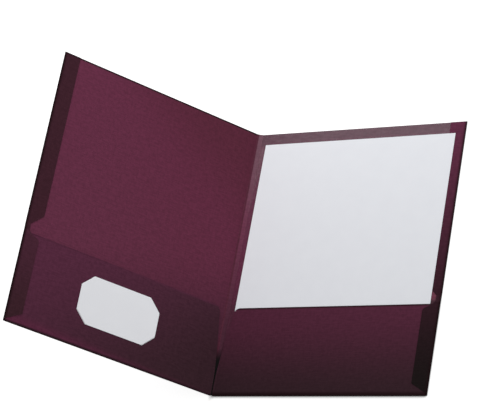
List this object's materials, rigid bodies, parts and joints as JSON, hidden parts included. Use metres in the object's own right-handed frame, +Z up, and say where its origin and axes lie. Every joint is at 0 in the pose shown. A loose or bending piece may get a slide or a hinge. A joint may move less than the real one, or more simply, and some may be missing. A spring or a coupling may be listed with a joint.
{
  "type": "two pocket folder",
  "caption": "Open presentation folder of burgundy linen card with a narrow double scored spine, folded pockets, side hems, a letter sheet and a business card held in corner slits.",
  "frame": {"origin": "middle of the back cover's outside face, which lies on the table", "axes": "+X from the spine to the back cover's free edge, +Y from the foot to the top of the folder, +Z up out of the back cover's inside face"},
  "size_m": [0.3578, 0.294, 0.2031],
  "materials": {
    "linen_card": "linen embossed card, matt",
    "glue": "dried cold glue",
    "white_paper": "smooth uncoated paper",
    "white_card": "smooth card"
  },
  "bodies": {
    "back_half": {"back_cover": "linen_card", "back_hem_fold": "linen_card", "back_upper_hem": "linen_card", "back_pocket_fold": "linen_card", "back_pocket_flap": "linen_card", "back_pocket": "linen_card", "back_hem_glue": "glue", "back_flap_glue": "glue"},
    "spine_strip": {"spine": "linen_card"},
    "front_half": {"front_cover": "linen_card", "front_hem_fold": "linen_card", "front_upper_hem": "linen_card", "front_pocket_fold": "linen_card", "front_pocket_flap": "linen_card", "front_pocket": "linen_card", "front_hem_glue": "glue", "front_flap_glue": "glue", "business_card": "white_card"},
    "loose_sheet": {"letter_sheet": "white_paper"}
  },
  "joints": [
    {"name": "back_score", "type": "hinge", "parent": "back_half", "child": "spine_strip", "pos_m": [-0.1165, 0, 0.00018], "axis": [0, 1, 0], "range_deg": [-29.5, 60.5]},
    {"name": "front_score", "type": "hinge", "parent": "spine_strip", "child": "front_half", "pos_m": [-0.12129, 0, 0.00289], "axis": [0, 1, 0], "range_deg": [-29.5, 60.5]},
    {"name": "sheet_slide", "type": "slide", "parent": "back_half", "child": "loose_sheet", "axis": [0, 1, 0], "range_m": [0, 0.1]}
  ]
}
